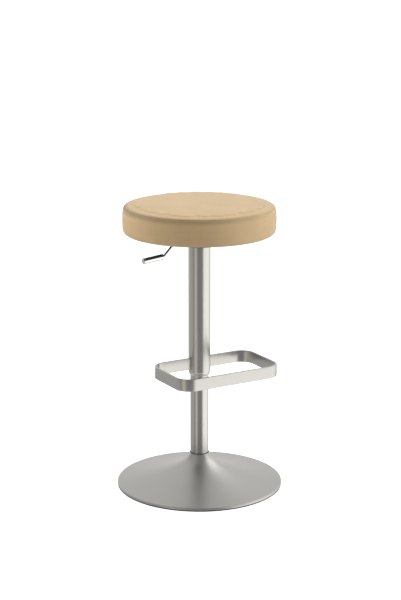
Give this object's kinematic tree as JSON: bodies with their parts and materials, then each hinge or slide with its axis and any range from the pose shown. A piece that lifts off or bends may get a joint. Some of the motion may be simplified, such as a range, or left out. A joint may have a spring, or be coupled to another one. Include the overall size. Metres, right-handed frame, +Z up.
{
  "type": "adjustable swivel bar stool",
  "caption": "Height-adjustable swivel bar stool with a round padded seat, gas-lift column, looped footrest and heavy trumpet base.",
  "frame": {"origin": "on the floor, on the column's axis, at the centre of the base", "axes": "+Z up along the column; the footrest points to -Y and the height lever to -X"},
  "size_m": [0.4624, 0.4624, 0.8025],
  "materials": {
    "satin_steel": "fine satin, spun",
    "brushed_steel": "brushed along the tube",
    "footrest_steel": "brushed along the bar",
    "chrome": "polished",
    "zinc_steel": "zinc plated",
    "black_steel": "black powder coat",
    "ballast_iron": "rolled plate, oiled",
    "brass": "turned brass",
    "black_rubber": "matt",
    "white_plastic": "nylon",
    "black_plastic": "moulded",
    "plywood": "plywood, raw edge",
    "foam": "cut foam",
    "tan_leather": "smooth grain, soft sheen",
    "black_fabric": "nonwoven dust cover"
  },
  "bodies": {
    "base": {"base_shell": "satin_steel", "base_weight": "ballast_iron", "floor_ring": "black_rubber", "base_underlay": "black_plastic", "column_socket": "zinc_steel", "socket_bolt_1": "zinc_steel", "socket_bolt_2": "zinc_steel", "socket_bolt_3": "zinc_steel", "socket_bolt_4": "zinc_steel", "neck_ring": "black_rubber", "stand_tube": "brushed_steel", "guide_bush": "black_plastic", "tube_end_plate": "zinc_steel", "bearing_race_lower": "chrome"},
    "bearing_cage": {"ball_cage": "brass"},
    "rotor": {"bearing_race_upper": "chrome", "piston_rod": "chrome", "piston": "zinc_steel", "piston_seal": "black_rubber", "rod_washer": "zinc_steel", "retaining_clip": "black_steel", "bump_stop": "black_rubber"},
    "carriage": {"pressure_tube": "black_steel", "inner_cylinder": "zinc_steel", "rod_guide": "brass", "rod_seal": "black_rubber", "valve_body": "brass", "column_cover": "brushed_steel", "cover_bush": "white_plastic", "cover_ring": "zinc_steel", "footrest": "footrest_steel", "seat_plate": "black_steel", "lever_bracket": "zinc_steel", "lever_pin": "zinc_steel", "seat_bolt_1": "zinc_steel", "seat_bolt_2": "zinc_steel", "seat_bolt_3": "zinc_steel", "seat_bolt_4": "zinc_steel", "t_nut_1": "zinc_steel", "t_nut_2": "zinc_steel", "t_nut_3": "zinc_steel", "t_nut_4": "zinc_steel", "seat_board": "plywood", "seat_foam": "foam", "seat_cover": "tan_leather", "dust_cover": "black_fabric"},
    "lever": {"lever_rod": "chrome", "lever_grip": "chrome"},
    "valve": {"valve_pin": "chrome"}
  },
  "joints": [
    {"name": "swivel", "type": "hinge", "parent": "base", "child": "rotor", "pos_m": [0, 0, 0.0245], "axis": [0, 0, 1], "continuous": true},
    {"name": "cage_spin", "type": "hinge", "parent": "base", "child": "bearing_cage", "pos_m": [0, 0, 0.0245], "axis": [0, 0, 1], "continuous": true},
    {"name": "height", "type": "slide", "parent": "rotor", "child": "carriage", "axis": [0, 0, 1], "range_m": [-0.215, 0]},
    {"name": "lever_lift", "type": "hinge", "parent": "carriage", "child": "lever", "pos_m": [-0.03, 0, 0.7055], "axis": [0, 1, 0], "range_deg": [0, 10], "stiffness_Nm_per_rad": 1.5, "springref_deg": -17.19},
    {"name": "valve_travel", "type": "slide", "parent": "carriage", "child": "valve", "axis": [0, 0, 1], "range_m": [-0.0062, 0]}
  ],
  "couplings": [
    {"joint": "cage_spin", "follows": "swivel", "ratio": 0.5},
    {"joint": "valve_travel", "follows": "lever_lift", "m_per_rad": -0.034}
  ]
}
